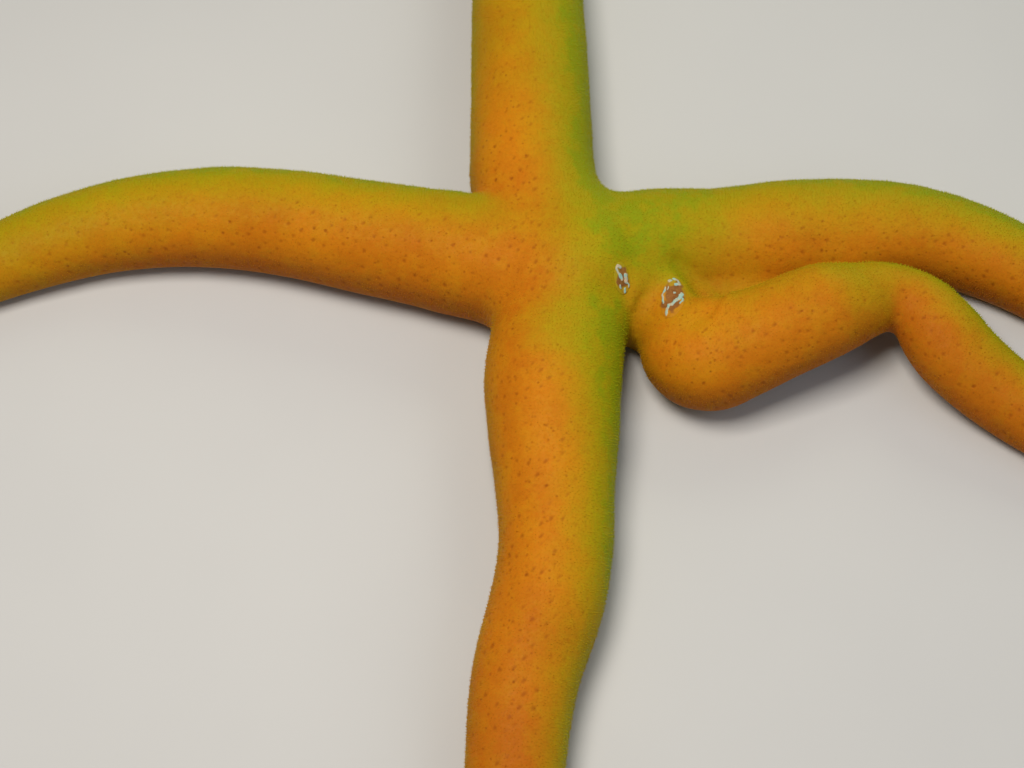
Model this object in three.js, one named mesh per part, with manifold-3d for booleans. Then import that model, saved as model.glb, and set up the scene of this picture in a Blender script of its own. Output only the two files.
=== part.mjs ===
// A life-size five-armed starfish at rest on a flat floor: a small disc with five
// long, nearly round arms. Millimetres, +Z up. The floor is z = 0, +Y runs towards
// the arm called back, and the origin is the middle of the animal's bounding box.
import * as THREE from "three";
import { mergeVertices } from "three/addons/utils/BufferGeometryUtils.js";
import Module from "manifold-3d";

const wasm = await Module();
wasm.setup();

// ---------------------------------------------------------------- driving sizes
const ARM_RADIUS = 9.8; // half the width of a common arm at its widest
const GAP = 0.3; // thin cut between two lengths of the body
const DISC_CENTRE = [4.65, 1.85]; // middle of the disc, from the origin
const CUTS = { disc: 18, base: 57, middle: 92 }; // where these end along an arm
const TIP_LENGTH = 9; // the last length of each arm
const NOSE_SHARE = 1.2; // length of the rounded end, in shares of the radius there
const BLUNT_END = 0.15; // what the last ring stops short by

// The cross-section, in shares of the arm's radius at that place.
const AXIS_HEIGHT = 0.8; // centre of the section above the flat sole
const BELLY_DEPTH = 0.86; // and above where the rounding of the flanks would end
const CROWN_HEIGHT = 0.92; // from that centre up to the ridge
const SOLE_CURVE = 2.6; // how square the lower half is, 2 being an ellipse
const FURROW_HALF_WIDTH = 0.26;
const FURROW_ROOF_HALF_WIDTH = 0.17;
const FURROW_DEPTH = 0.3;
const FURROW_OVERCUT = 0.1; // how far below the sole a furrow's cut begins
const BODY_MIDDLE = 0.3; // the middle of a cut face, above the section's centre
const CROWN_SIDES = 10; // faces over the upper half
const FLANK_ANGLES = [25, 48]; // of the points down each flank, in degrees
const RING_SPACING = 6; // between two rings of an arm
const TIP_RINGS = 4;

// How the arms run into the disc.
const ROOT_SHARE = 0.95; // an arm's radius at the disc's middle, as a share
const ROOT_LENGTH = 16; // over which it grows to full size
const WEB = 1.7; // how far the skin fills the corners between arms
const WEB_FADES_FROM = 14;
const WEB_FADES_OVER = 10;
// The corners on both sides of one bearing are filled less, from some way out.
const PINCH = { bearing: 335, half: 35, fades: 25, from: 4, over: 8, by: 0.65 };
const CORE = { middle: [1.5, 0, 7], around: 60, up: 22, reach: 34 }; // grows the disc
const KNEE = { middle: [17.9, -12.6, 7.8], around: 28, up: 13, reach: 24 }; // and the knee
const PAST_CUT = 1.5; // how far past its cuts a grown piece is carried
// The crook of the knee is filled between the stretches before and after it.
const CROOK = { middle: [21.5, -5.5], reach: 9, softness: 2.4, before: 17, from: 25, to: 29 };
const HARD = 0.05; // a softness that leaves a corner as it is
const HALVINGS = 12; // how finely a grown surface is felt out
const ON_FLOOR = 5e-3; // what lies lower than this is on the floor
const ONE_POINT = 1e-4; // points closer than this are one
const CUT_BLOCK = 50; // length and height of a block that cuts
const CUT_SHARE = 1.25; // what it takes off the disc across an arm, in radii of the arm
const CROOK_CUT = 8; // and how much further it reaches on the side of the crook

// Each arm: its bearing from the disc, in degrees anticlockwise from +X, its length
// from the disc's middle, and its girth as a share of the common arm's. A turn bends
// it by some degrees over a stretch centred at a place along it; a swell changes its
// radius by a share there, and a lift raises it off the floor there, in mm. An arm
// that doubles back near the disc has a knee there, and rings closer together.
const ARMS = [
  {
    name: "back",
    bearing: 112.5,
    length: 124,
    girth: 1.07,
    taper: 0.72,
    turns: [
      { at: 16, over: 14, by: -21.5 },
      { at: 88, over: 50, by: 26 },
    ],
    swells: [{ at: 58, over: 46, by: 0.06 }],
    lifts: [{ at: 124, over: 30, by: 3 }],
  },
  {
    name: "left",
    bearing: 166.5,
    length: 128,
    girth: 1.04,
    taper: 1,
    turns: [
      { at: 66, over: 62, by: 38 },
      { at: 112, over: 30, by: -30 },
    ],
    swells: [],
    lifts: [],
  },
  {
    name: "front",
    bearing: 258,
    length: 126,
    girth: 1.05,
    taper: 0.95,
    turns: [
      { at: 17, over: 14, by: 13 },
      { at: 50, over: 22, by: -18.5 },
      { at: 67, over: 18, by: 13 },
      { at: 102, over: 40, by: 30 },
    ],
    swells: [
      { at: 23, over: 22, by: 0.07 },
      { at: 41, over: 16, by: -0.03 },
    ],
    lifts: [],
  },
  {
    name: "right_front",
    bearing: 353,
    length: 126,
    cuts: { disc: 19, knee: 34, base: 68, middle: 97 },
    ringSpacing: 3,
    girth: 0.9,
    taper: 0.88,
    turns: [
      { at: 13.3, over: 9, by: -66 },
      { at: 27, over: 9, by: 95 },
      { at: 60, over: 13, by: -80 },
      { at: 72, over: 14, by: 20 },
      { at: 102, over: 36, by: 34 },
    ],
    swells: [
      { at: 18, over: 10, by: -0.24 },
      { at: 59, over: 13, by: -0.23 },
    ],
    lifts: [{ at: 51, over: 36, by: 5.5 }],
  },
  {
    name: "right_back",
    bearing: 27,
    length: 122,
    girth: 1,
    taper: 1.05,
    turns: [
      { at: 13, over: 12, by: -21 },
      { at: 58, over: 38, by: -39 },
      { at: 102, over: 34, by: 30 },
    ],
    swells: [
      { at: 23, over: 14, by: -0.06 },
      { at: 42, over: 24, by: 0.03 },
    ],
    lifts: [{ at: 122, over: 26, by: 2.5 }],
  },
];

// The sieve plates, each a low oval dome let into the skin in a corner between two
// arms: its place and bearing from the disc's middle, which way its long axis points,
// and half its length and width.
const SIEVES = [
  { name: "madreporite", bearing: 324.5, distance: 8.8, heading: -72, along: 2.5, across: 1.4 },
  { name: "madreporite_second", bearing: 334.4, distance: 16.2, heading: 85, along: 4.1, across: 2.1 },
];
const PLATE_STANDS = 0.4; // above the skin
const PLATE_HALF_HEIGHT = 1.2;
const PLATE_SIDES = 14;
const PLATE_RINGS = 6;
const FACING_REACH = 0.3; // how far around a point its surface is felt out
const UP = new THREE.Vector3(0, 0, 1);
const MOUTH = { radius: 3.6, topRadius: 2.2, depth: 5, sides: 20, below: 0.05 };

// ---------------------------------------------------------------- the arm's shape
const clamp01 = (x) => Math.min(1, Math.max(0, x));
const ease = (x) => clamp01(x) ** 2 * (3 - 2 * clamp01(x));
const turnedBy = (s, { at, over, by }) => by * ease((s - at) / over + 0.5);
const bulge = (s, { at, over, by }) =>
  by * Math.cos((Math.PI / 2) * clamp01(Math.abs(s - at) / over)) ** 2;
const total = (list, each) => list.reduce((sum, item) => sum + each(item), 0);
const betweenBearings = (a, b) => Math.abs(((a - b + 540) % 360) - 180); // in degrees

// The radius of an arm at s, before its end rounds off.
function girthAt(arm, s) {
  const t = clamp01(s / arm.length);
  const root = ROOT_SHARE + (1 - ROOT_SHARE) * ease(s / ROOT_LENGTH);
  const thinning = 1 - arm.taper * 0.5 * t ** 1.25 - (0.72 - 0.5 * arm.taper) * t ** 5;
  const swollen = 1 + total(arm.swells, (swell) => bulge(s, swell));
  return ARM_RADIUS * arm.girth * thinning * root * swollen;
}

// What is left of that radius in the rounded end, as a share.
function roundingAt(arm, s) {
  const nose = NOSE_SHARE * girthAt(arm, arm.length);
  return Math.sqrt(1 - clamp01((s - (arm.length - nose)) / nose) ** 2);
}

const STEP = 0.5; // between the points of a centre line

// The centre line as points with a place, a heading and a lift.
function centreLine(arm) {
  const line = [];
  let [x, y] = DISC_CENTRE;
  for (let i = 0; i * STEP <= arm.length + STEP / 2; i++) {
    const s = i * STEP;
    const heading = THREE.MathUtils.degToRad(
      arm.bearing + total(arm.turns, (turn) => turnedBy(s, turn)),
    );
    const lift = total(arm.lifts, (rise) => bulge(s, rise));
    line.push({ s, x, y, heading, lift });
    x += STEP * Math.cos(heading);
    y += STEP * Math.sin(heading);
  }
  return line;
}
for (const arm of ARMS) {
  arm.line = centreLine(arm);
  arm.cuts ??= CUTS;
}

function placeAt(arm, s) {
  const i = Math.min(arm.line.length - 2, Math.floor(s / STEP));
  const [a, b] = [arm.line[i], arm.line[i + 1]];
  const mix = (key) => THREE.MathUtils.lerp(a[key], b[key], s / STEP - i);
  return { x: mix("x"), y: mix("y"), heading: mix("heading"), lift: mix("lift") };
}

// A point of the section at s: u across to the right and v up, in shares of the radius.
function pointAt(arm, s, u, v) {
  const { x, y, heading, lift } = placeAt(arm, s);
  const girth = girthAt(arm, s);
  const r = girth * roundingAt(arm, s);
  const z = AXIS_HEIGHT * girth + v * r + lift;
  return new THREE.Vector3(
    x + Math.sin(heading) * u * r,
    y - Math.cos(heading) * u * r,
    Math.abs(z) < ON_FLOOR ? 0 : z,
  );
}

// The outline of an arm's section, anticlockwise looking out along the arm, with the
// furrow in its sole.
function sectionOutline() {
  const crown = Array.from({ length: CROWN_SIDES + 1 }, (_, i) => {
    const angle = (Math.PI * i) / CROWN_SIDES;
    return [Math.cos(angle), CROWN_HEIGHT * Math.sin(angle)];
  });
  const flank = FLANK_ANGLES.map((degrees) => {
    const angle = THREE.MathUtils.degToRad(degrees);
    const power = 2 / SOLE_CURVE;
    return [-(Math.cos(angle) ** power), -BELLY_DEPTH * Math.sin(angle) ** power];
  });
  const flat = (1 - (AXIS_HEIGHT / BELLY_DEPTH) ** SOLE_CURVE) ** (1 / SOLE_CURVE);
  const sole = [
    [-flat, -AXIS_HEIGHT],
    [-FURROW_HALF_WIDTH, -AXIS_HEIGHT],
    [-FURROW_ROOF_HALF_WIDTH, FURROW_DEPTH - AXIS_HEIGHT],
  ];
  const left = [...flank, ...sole];
  const right = left.map(([u, v]) => [-u, v]).reverse();
  return [...crown, ...left, ...right];
}
const BODY = { outline: sectionOutline(), middle: [0, BODY_MIDDLE] };

// The same for the block that lets the furrow into the disc.
const FURROW = {
  outline: [
    [FURROW_HALF_WIDTH, -AXIS_HEIGHT - FURROW_OVERCUT],
    [FURROW_ROOF_HALF_WIDTH, FURROW_DEPTH - AXIS_HEIGHT],
    [-FURROW_ROOF_HALF_WIDTH, FURROW_DEPTH - AXIS_HEIGHT],
    [-FURROW_HALF_WIDTH, -AXIS_HEIGHT - FURROW_OVERCUT],
  ],
  middle: [0, -AXIS_HEIGHT],
};

// A closed tube along an arm from one place to another; spread sets how its rings lie.
function tube(arm, from, to, section, rings, spread = (t) => t) {
  const sides = section.outline.length;
  const geometry = new THREE.CylinderGeometry(1, 1, 1, sides, rings);
  const place = geometry.getAttribute("position");
  for (let i = 0; i < place.count; i++) {
    const [px, py, pz] = [place.getX(i), place.getY(i), place.getZ(i)];
    const s = from + spread(0.5 - py) * (to - from);
    const turn = (Math.atan2(px, pz) / (2 * Math.PI) + 1) % 1;
    const onAxis = Math.hypot(px, pz) < 0.5;
    const [u, v] = onAxis ? section.middle : section.outline[Math.round(turn * sides) % sides];
    const p = pointAt(arm, s, u, v);
    place.setXYZ(i, p.x, p.y, p.z);
  }
  return geometry;
}

// ---------------------------------------------------------------- solids
function solidOf(geometry) {
  const bare = new THREE.BufferGeometry();
  bare.setAttribute("position", geometry.toNonIndexed().getAttribute("position"));
  const merged = mergeVertices(bare, ONE_POINT);
  const solid = new wasm.Manifold(
    new wasm.Mesh({
      numProp: 3,
      vertProperties: merged.getAttribute("position").array,
      triVerts: new Uint32Array(merged.index.array),
    }),
  );
  if (solid.volume() <= 0) throw new Error("a solid is inside out");
  return solid;
}

function geometryOf(solid) {
  const mesh = solid.getMesh();
  const geometry = new THREE.BufferGeometry();
  geometry.setAttribute("position", new THREE.BufferAttribute(mesh.vertProperties, 3));
  geometry.setIndex(new THREE.BufferAttribute(mesh.triVerts, 1));
  return geometry;
}

// How far a point is outside a stretch of one arm, in mm, and negative inside it.
function outsideArm(arm, p, upTo, from = 0) {
  let best = null;
  let least = Infinity;
  for (const point of arm.line) {
    if (point.s > upTo) break;
    if (point.s < from) continue;
    const away = (p.x - point.x) ** 2 + (p.y - point.y) ** 2;
    if (away < least) [least, best] = [away, point];
  }
  const r = girthAt(arm, best.s);
  const u = Math.hypot(p.x - best.x, p.y - best.y) / r;
  const v = (p.z - best.lift) / r - AXIS_HEIGHT;
  const power = v > 0 ? 2 : SOLE_CURVE;
  const height = v > 0 ? CROWN_HEIGHT : BELLY_DEPTH;
  const size = (u ** power + Math.abs(v / height) ** power) ** (1 / power);
  return Math.max((size - 1) * r, best.lift - p.z);
}

// The least of some distances, with the corners between them filled.
function softLeast(values, softness) {
  const least = Math.min(...values);
  return least - softness * Math.log(total(values, (d) => Math.exp((least - d) / softness)));
}

// How far a point is outside what fills the crook of an arm's knee.
function outsideCrook(arm, p) {
  const [x, y] = [p.x - DISC_CENTRE[0], p.y - DISC_CENTRE[1]];
  const away = Math.hypot(x - CROOK.middle[0], y - CROOK.middle[1]);
  const softness = HARD + CROOK.softness * ease(1 - away / CROOK.reach);
  const after = outsideArm(arm, p, CROOK.to, CROOK.from);
  return softLeast([outsideArm(arm, p, CROOK.before), after], softness);
}

// The same for the disc and the arms' roots, with the corners between arms filled.
function outsideDisc(p) {
  const [x, y] = [p.x - DISC_CENTRE[0], p.y - DISC_CENTRE[1]];
  const radius = Math.hypot(x, y);
  const aside = betweenBearings(THREE.MathUtils.radToDeg(Math.atan2(y, x)), PINCH.bearing);
  const pinched = ease((PINCH.half + PINCH.fades - aside) / PINCH.fades);
  const fade = 1 - ease((radius - WEB_FADES_FROM) / WEB_FADES_OVER);
  const kept = 1 - PINCH.by * pinched * ease((radius - PINCH.from) / PINCH.over);
  const each = ARMS.map((arm) => outsideArm(arm, p, arm.cuts.disc + PAST_CUT));
  const joined = softLeast(each, HARD + WEB * fade * kept);
  const kneed = ARMS.filter((arm) => arm.cuts.knee);
  return Math.min(joined, ...kneed.map((arm) => outsideCrook(arm, p)));
}

// The place on a surface that a ray from inside it first comes out at.
function surfaceAlong(from, ray, reach, outside) {
  const isInside = (way) => outside(from.clone().addScaledVector(ray, way)) < 0;
  const farthest = Math.min(reach, ray.z < 0 ? from.z / -ray.z : Infinity);
  let near = 0;
  while (near + STEP < farthest && isInside(near + STEP)) near += STEP;
  let far = Math.min(near + STEP, farthest);
  for (let halving = 0; halving < HALVINGS; halving++) {
    const half = (near + far) / 2;
    [near, far] = isInside(half) ? [half, far] : [near, half];
  }
  return from.clone().addScaledVector(ray, near);
}

// A ball grown out to a surface.
function grown({ middle, around, up, reach }, outside) {
  const ball = new THREE.SphereGeometry(1, around, up).rotateX(Math.PI / 2);
  const place = ball.getAttribute("position");
  const [x, y, z] = middle;
  const from = new THREE.Vector3(DISC_CENTRE[0] + x, DISC_CENTRE[1] + y, z);
  for (let i = 0; i < place.count; i++) {
    const ray = new THREE.Vector3().fromBufferAttribute(place, i).normalize();
    const p = surfaceAlong(from, ray, reach, outside);
    place.setXYZ(i, p.x, p.y, p.z < ON_FLOOR ? 0 : p.z);
  }
  return solidOf(ball);
}

// A block that takes away what lies past s along an arm, or what comes before it; it
// reaches further on the left by some way.
function cutBlock(arm, s, side, width, further = 0) {
  const face = placeAt(arm, side > 0 ? s + GAP : s);
  const block = new THREE.BoxGeometry(CUT_BLOCK, width + further, CUT_BLOCK)
    .translate(side * (CUT_BLOCK / 2 - GAP), further / 2, 0)
    .rotateZ(face.heading)
    .translate(face.x, face.y, 0);
  return solidOf(block);
}

const furrowBlock = (arm, from, to) =>
  solidOf(tube(arm, from, to, FURROW, Math.ceil((to - from) / 2)));

// The disc, cut square across each arm, with the furrows and the mouth let into it.
function discSolid() {
  let disc = grown(CORE, outsideDisc);
  for (const arm of ARMS) {
    const width = 2 * CUT_SHARE * girthAt(arm, arm.cuts.disc);
    const further = arm.cuts.knee ? CROOK_CUT : 0;
    disc = disc.subtract(cutBlock(arm, arm.cuts.disc, 1, width, further));
    disc = disc.subtract(furrowBlock(arm, 0, arm.cuts.disc + PAST_CUT));
  }
  const { topRadius, radius, depth, sides, below } = MOUTH;
  const mouth = new THREE.CylinderGeometry(topRadius, radius, depth, sides)
    .rotateX(Math.PI / 2)
    .translate(...DISC_CENTRE, depth / 2 - below);
  return disc.subtract(solidOf(mouth));
}

// The stretch in which an arm doubles back beside the disc.
function kneeSolid(arm) {
  const { disc: from, knee: to } = arm.cuts;
  const outside = (p) => Math.min(outsideArm(arm, p, to + PAST_CUT), outsideCrook(arm, p));
  return grown(KNEE, outside)
    .subtract(cutBlock(arm, from, -1, CUT_BLOCK))
    .subtract(cutBlock(arm, to, 1, CUT_BLOCK))
    .subtract(furrowBlock(arm, from - 1, to + 1));
}

// The direction the body's surface faces at a point on it.
function facingAt(p) {
  const slope = ["x", "y", "z"].map((axis) => {
    const [ahead, behind] = [p.clone(), p.clone()];
    ahead[axis] += FACING_REACH;
    behind[axis] -= FACING_REACH;
    return outsideDisc(ahead) - outsideDisc(behind);
  });
  return new THREE.Vector3(...slope).normalize();
}

// A sieve plate; grown makes the pit that it stands in.
function sievePlate({ bearing, distance, across, along, heading }, grown) {
  const out = new THREE.Vector3(distance, 0, CORE.middle[2]);
  out.applyAxisAngle(UP, THREE.MathUtils.degToRad(bearing));
  const below = new THREE.Vector3(...DISC_CENTRE, 0).add(out);
  const top = surfaceAlong(below, UP, CORE.reach, outsideDisc);
  return new THREE.SphereGeometry(1, PLATE_SIDES, PLATE_RINGS)
    .rotateX(Math.PI / 2)
    .scale(along + grown, across + grown, PLATE_HALF_HEIGHT + grown)
    .translate(0, 0, PLATE_STANDS - PLATE_HALF_HEIGHT)
    .rotateZ(THREE.MathUtils.degToRad(heading))
    .applyQuaternion(new THREE.Quaternion().setFromUnitVectors(UP, facingAt(top)))
    .translate(top.x, top.y, top.z);
}

// ---------------------------------------------------------------- the nodes
const SKIN = new THREE.MeshStandardMaterial({ color: 0xd9741c, roughness: 0.62 });
const TIP_SKIN = new THREE.MeshStandardMaterial({ color: 0xd0661d, roughness: 0.62 });
const PLATE = new THREE.MeshStandardMaterial({ color: 0xb9a48c, roughness: 0.7 });

const starfish = new THREE.Group();
function addNode(name, geometry, material) {
  const mesh = new THREE.Mesh(geometry, material);
  mesh.name = name;
  starfish.add(mesh);
}

const pits = SIEVES.map((sieve) => solidOf(sievePlate(sieve, GAP)));
const pitted = (solid) => pits.reduce((left, pit) => left.subtract(pit), solid);
addNode("disc", geometryOf(pitted(discSolid())), SKIN);
for (const sieve of SIEVES) addNode(sieve.name, sievePlate(sieve, 0), PLATE);

for (const arm of ARMS) {
  const { disc, knee, base, middle } = arm.cuts;
  const tipStart = arm.length - TIP_LENGTH;
  const lengths = { base: [knee ?? disc, base], middle: [base, middle], end: [middle, tipStart] };
  if (knee) addNode(`arm_${arm.name}_knee`, geometryOf(pitted(kneeSolid(arm))), SKIN);
  for (const [name, [from, to]] of Object.entries(lengths)) {
    const rings = Math.round((to - from) / (arm.ringSpacing ?? RING_SPACING));
    addNode(`arm_${arm.name}_${name}`, tube(arm, from + GAP, to, BODY, rings), SKIN);
  }
  const rounding = (t) => Math.sin((Math.PI / 2) * t);
  const tipEnd = arm.length - BLUNT_END;
  const tip = tube(arm, tipStart + GAP, tipEnd, BODY, TIP_RINGS, rounding);
  addNode(`arm_${arm.name}_tip`, tip, TIP_SKIN);
}

export default starfish;
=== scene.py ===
# A life-size orange starfish, still and at rest on a pale floor: one soft skin over the
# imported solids, with its pores, its nap of small gills, two sieve plates, and the
# furrows under its arms with their tube feet and spines.
import math

import bpy
import numpy as np
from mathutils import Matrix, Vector, noise
from mathutils.kdtree import KDTree


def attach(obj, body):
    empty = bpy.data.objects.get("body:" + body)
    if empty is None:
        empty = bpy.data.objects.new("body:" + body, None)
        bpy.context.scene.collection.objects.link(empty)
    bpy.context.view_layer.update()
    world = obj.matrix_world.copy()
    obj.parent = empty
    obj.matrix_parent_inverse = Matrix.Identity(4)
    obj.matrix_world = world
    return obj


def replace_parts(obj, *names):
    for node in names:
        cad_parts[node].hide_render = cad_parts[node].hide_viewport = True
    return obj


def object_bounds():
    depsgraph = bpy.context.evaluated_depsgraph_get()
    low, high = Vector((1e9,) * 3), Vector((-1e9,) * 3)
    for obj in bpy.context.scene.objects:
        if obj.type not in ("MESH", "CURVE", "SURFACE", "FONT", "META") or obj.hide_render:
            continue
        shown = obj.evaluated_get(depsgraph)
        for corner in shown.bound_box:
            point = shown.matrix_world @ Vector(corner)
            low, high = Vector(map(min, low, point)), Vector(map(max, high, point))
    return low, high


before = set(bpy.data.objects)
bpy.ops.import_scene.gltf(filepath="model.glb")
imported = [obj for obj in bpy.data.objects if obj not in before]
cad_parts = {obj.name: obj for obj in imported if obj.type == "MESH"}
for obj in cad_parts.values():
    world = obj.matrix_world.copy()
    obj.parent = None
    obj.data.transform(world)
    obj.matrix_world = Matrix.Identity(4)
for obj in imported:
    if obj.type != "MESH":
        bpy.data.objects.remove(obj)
cad_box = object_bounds()
scene = bpy.context.scene

# ---------------------------------------------------------------- driving sizes
# Millimetres, as in the part's source. The floor is z = 0, and +Y runs towards the
# arm called back.
MM = 0.001
ARM_RADIUS = 9.8
DISC_CENTRE = (4.65, 1.85)
AXIS_HEIGHT = 0.8  # the section's centre above the sole, in radii
BELLY_DEPTH = 0.86
CROWN_HEIGHT = 0.92
SOLE_CURVE = 2.6
FURROW_HALF_WIDTH = 0.26
FURROW_ROOF_HALF_WIDTH = 0.17
FURROW_DEPTH = 0.3
FURROW_SHORT = 0.8  # where it ends before the tip, in shares of the nose's length
NOSE_SHARE = 1.2
ROOT_SHARE = 0.95
ROOT_LENGTH = 16
# An arm thins by one curve as far as its taper says, and by the other to the same end.
TAPER_LOSS = 0.5
END_LOSS = 0.72
TAPER_CURVE = 1.25
END_CURVE = 5
DISC_CUT = 18  # where the disc ends along an arm
WEB = 1.7
WEB_FADES = (14, 10)  # from, and over, from the disc's middle
# The corners on both sides of one bearing are filled less, from some way out.
PINCH = {"bearing": 335, "aside": (60, 25), "out": (4, 8), "by": 0.65}
# The crook of the knee is filled between the stretches before and after it.
CROOK = {"arm": "right_front", "middle": (21.5, -5.5), "reach": 9, "softness": 0.7}
CROOK_BEFORE = 17
CROOK_AFTER = (25, 29)
# These two arms are pressed together, and the skin bridges the crease between them.
PRESSED = {"arms": ("right_front", "right_back"), "softness": 1.1, "from": (19, 5), "up_to": (55, 15)}
# Soft folds fill the crease behind the knee, the knee's crook, and the notch between the
# disc and the knee.
FOLDS = (
    {"middle": (24, -2, 2.5), "reach": (9, 5, 5.4), "softness": 1.5},
    {"middle": (21.6, -9.8, 5), "reach": (4.4, 4.8, 9.2), "softness": 1.1},
    {"middle": (10, -5.6, 5), "reach": (3.4, 4.1, 6.2), "softness": 1.2},
)
FOLD_REACH = 3  # how far outside itself a fold still fills
# A crease runs down from the disc behind the knee, its line a little over the skin.
CREASE = {"from": (15.8, -1, 12.8), "to": (20.4, -5.3, 10.2), "radius": 1.9, "softness": 0.5}
CREASE_REACH = 9  # from its middle
CREASE_ENDS = 0.5  # how much thinner it is at its ends
# The second sieve plate's low boss, on the crease's near bank.
BOSS = {"middle": (14.7, -6, 6.5), "reach": (3.9, 5.4, 6.1), "softness": 0.9}
MOUTH = {"radius": 3.6, "top_radius": 2.2, "depth": 5}
STEP = 0.5  # between the points of a centre line

COAT_DEPTH = 0.4  # how far the skin lies inside the solids
SOLE_DEPTH = 0.12  # and inside them under the sole
GRID_STEP = 0.63  # between the points that the skin is felt out at
GRID_MARGIN = 1.3  # round the solids' box
EVENINGS = 5  # how often the skin's points are spread evenly
EVENING = 0.6  # and how far they go each time
LEAST_STEEP = 0.05  # the least square of the field's slope that a point is moved by
PINHOLE = -0.02  # what the field is made to say where a pinhole is closed
PINHOLE_ROUNDS = 6
PAST_CUT = 1.5  # how far past the disc's cuts its own shape is carried
HARD = 0.05  # a softness that leaves a corner as it is
SEAM = 0.25  # how softly the knee's skin meets the disc's, and a furrow's wall the skin
ARMS_MIX = 3  # how softly one arm's colours run into the next one's
FURROW_EASE = 0.2  # how far the skin lies back from the furrow's walls
FAR = 6.0  # what the field says where it isn't worked out
# It is worked out this far from each centre line, in shares of the girth and in mm, and
# for the disc this far past its web.
FELT_SHARE = 1.15
FELT_PAST = 2
WEB_PAST = 12
BLOCK = 20000  # how many places are measured at once
# Places more than this outside every arm aren't looked at, and one point in so many of a
# centre line stands for those around it.
NEAR_PAST = 5
NEAR_EVERY = 8

# Each arm, with its turns, swells and lifts as (at, over, by) along it.
ARMS = {
    "back": dict(
        bearing=112.5, length=124, girth=1.07, taper=0.72,
        turns=[(16, 14, -21.5), (88, 50, 26)],
        swells=[(58, 46, 0.06)],
        lifts=[(124, 30, 3)],
    ),
    "left": dict(
        bearing=166.5, length=128, girth=1.04, taper=1,
        turns=[(66, 62, 38), (112, 30, -30)],
    ),
    "front": dict(
        bearing=258, length=126, girth=1.05, taper=0.95,
        turns=[(17, 14, 13), (50, 22, -18.5), (67, 18, 13), (102, 40, 30)],
        swells=[(23, 22, 0.07), (41, 16, -0.03)],
    ),
    "right_front": dict(
        bearing=353, length=126, girth=0.9, taper=0.88, root=19,
        turns=[(13.3, 9, -66), (27, 9, 95), (60, 13, -80), (72, 14, 20), (102, 36, 34)],
        swells=[(18, 10, -0.24), (59, 13, -0.23)],
        lifts=[(51, 36, 5.5)],
    ),
    "right_back": dict(
        bearing=27, length=122, girth=1, taper=1.05,
        turns=[(13, 12, -21), (58, 38, -39), (102, 34, 30)],
        swells=[(23, 14, -0.06), (42, 24, 0.03)],
        lifts=[(122, 26, 2.5)],
    ),
}


# ---------------------------------------------------------------- the arms' shape
def ease(x):
    """A smooth step from 0 to 1."""
    x = np.clip(x, 0, 1)
    return x * x * (3 - 2 * x)


def rising(value, span):
    """A smooth step up as a value grows; a span is where it starts, and over how much."""
    return ease((value - span[0]) / span[1])


def falling(value, span):
    """A smooth step up as a value shrinks from where the span starts."""
    return ease((span[0] - value) / span[1])


def bulge(s, bumps):
    """What a list of smooth bumps adds at s."""
    total = np.zeros_like(s)
    for at, over, by in bumps:
        total = total + by * np.cos(np.pi / 2 * np.clip(np.abs(s - at) / over, 0, 1)) ** 2
    return total


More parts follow.
